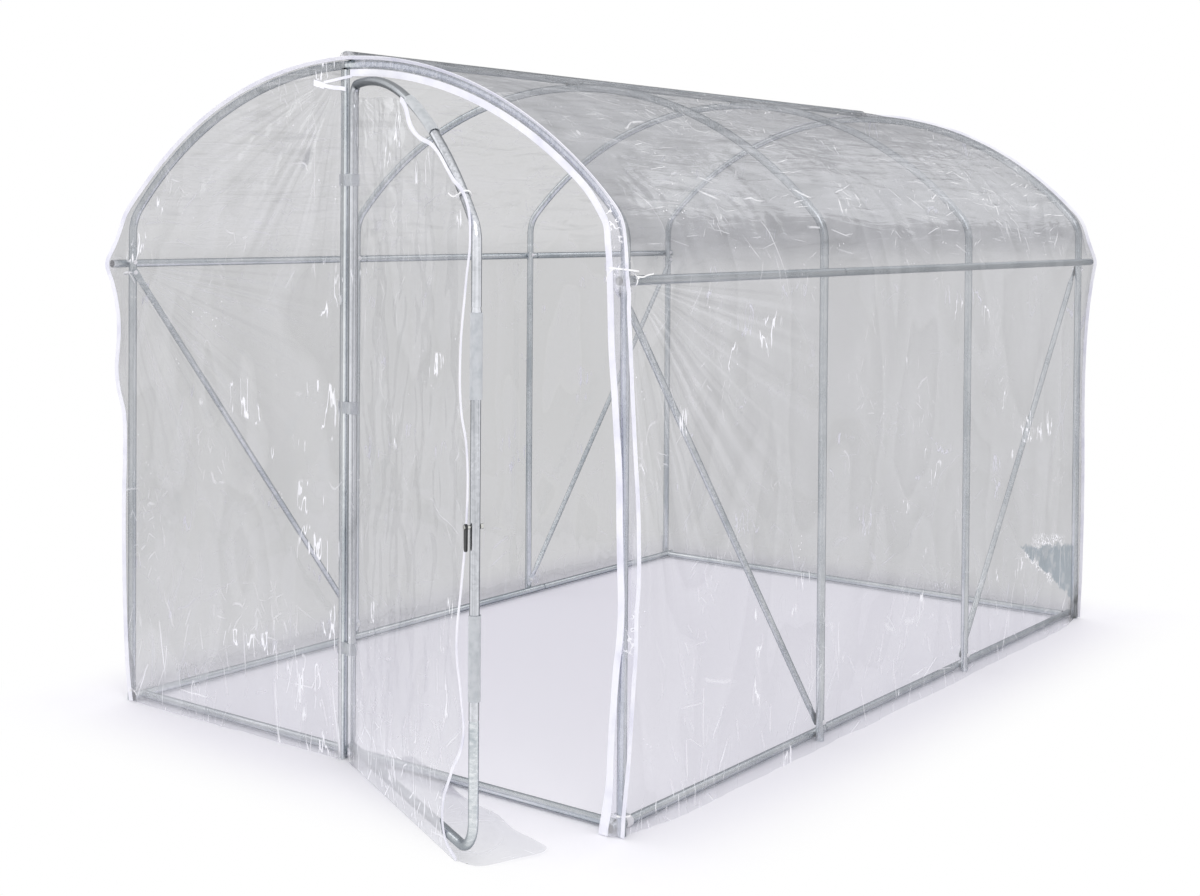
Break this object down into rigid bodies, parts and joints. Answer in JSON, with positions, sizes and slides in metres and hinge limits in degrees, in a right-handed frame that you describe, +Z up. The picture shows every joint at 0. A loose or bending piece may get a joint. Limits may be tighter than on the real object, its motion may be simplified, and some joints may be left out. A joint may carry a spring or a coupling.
{
  "type": "polytunnel greenhouse",
  "caption": "Walk-in tunnel greenhouse: clear film over bent galvanised tube hoops, rails and braces, with a hinged film door in one half of the front gable",
  "frame": {"origin": "on the ground, in the middle of the tunnel's own box", "axes": "+X to the right seen from the door end, +Y from the door end to the back, +Z up"},
  "size_m": [2.0346, 3.5006, 2.0263],
  "materials": {
    "galvanised_tube": "galvanised round steel tube",
    "clear_film": "clear flexible film, lightly crinkled",
    "white_tape": "white welded edge tape",
    "clear_clip": "translucent moulded clip",
    "zinc_bolt": "zinc plated bolt with cap nut",
    "black_lever": "black moulded plastic"
  },
  "bodies": {
    "frame": {"back_base_rail": "galvanised_tube", "back_film": "clear_film", "base_rail_left": "galvanised_tube", "base_rail_right": "galvanised_tube", "brace_back_left": "galvanised_tube", "brace_back_right": "galvanised_tube", "brace_front_left": "galvanised_tube", "brace_front_right": "galvanised_tube", "cover_left_roof": "clear_film", "cover_left_wall": "clear_film", "cover_right_roof": "clear_film", "cover_right_wall": "clear_film", "door_post": "galvanised_tube", "door_side_band": "white_tape", "door_threshold": "galvanised_tube", "eave_rail_left": "galvanised_tube", "eave_rail_right": "galvanised_tube", "front_base_rail": "galvanised_tube", "front_edge_tape": "white_tape", "front_film": "clear_film", "hinge_clips": "clear_clip", "hoop_1_bow": "galvanised_tube", "hoop_1_left_leg": "galvanised_tube", "hoop_1_right_leg": "galvanised_tube", "hoop_2_bow": "galvanised_tube", "hoop_2_left_leg": "galvanised_tube", "hoop_2_right_leg": "galvanised_tube", "hoop_3_bow": "galvanised_tube", "hoop_3_left_leg": "galvanised_tube", "hoop_3_right_leg": "galvanised_tube", "hoop_4_bow": "galvanised_tube", "hoop_4_left_leg": "galvanised_tube", "hoop_4_right_leg": "galvanised_tube", "ridge_rail": "galvanised_tube"},
    "door": {"door_hinge_tube": "galvanised_tube", "door_bow": "galvanised_tube", "door_latch_post": "galvanised_tube", "door_bottom_tube": "galvanised_tube", "door_film": "clear_film", "door_skirt": "clear_film", "door_film_clips": "clear_clip", "latch_bolt": "zinc_bolt"},
    "latch": {"latch_lever": "black_lever"}
  },
  "joints": [
    {"name": "door_swing", "type": "hinge", "parent": "frame", "child": "door", "pos_m": [0.018, -1.30974, 1], "axis": [0, 0, -1], "range_deg": [-26.5, 73.5]},
    {"name": "latch_turn", "type": "hinge", "parent": "door", "child": "latch", "pos_m": [0.83443, -1.74306, 0.824], "axis": [-0.4462, -0.8949, 0], "range_deg": [0, 90]}
  ]
}
